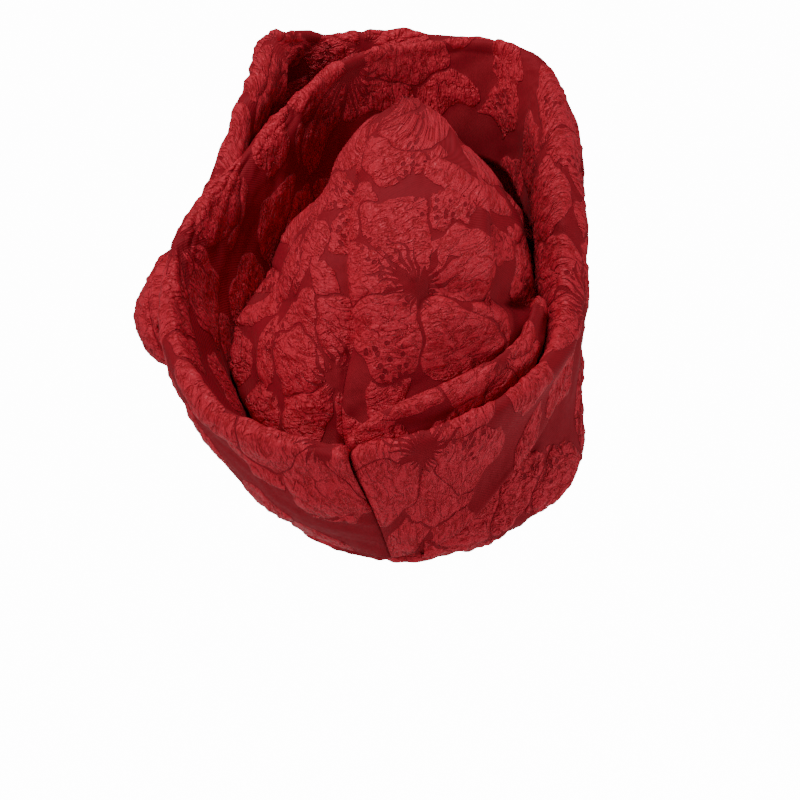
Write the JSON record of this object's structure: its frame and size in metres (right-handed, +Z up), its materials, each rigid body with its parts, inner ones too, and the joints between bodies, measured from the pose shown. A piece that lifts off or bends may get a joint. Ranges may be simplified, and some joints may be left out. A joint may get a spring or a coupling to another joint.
{
  "type": "turban cap",
  "caption": "Pre-tied cloth head wrap: soft pointed cap inside a tall folded band that sweeps from the nape up to the brow, with a tuck at the back and a pleated wrap across the front.",
  "frame": {"origin": "middle of the head opening, level with the nape hem, where the cap sits on a head", "axes": "+Z up, +Y the way the wearer faces, +X the wearer's right"},
  "size_m": [0.2746, 0.2457, 0.2998],
  "materials": {
    "jacquard": "crinkled red jacquard with raised flowers"
  },
  "bodies": {
    "root": {"cap_left_panel": "jacquard", "cap_right_panel": "jacquard", "back_band": "jacquard", "inner_tuck": "jacquard", "front_wrap": "jacquard"}
  },
  "joints": []
}
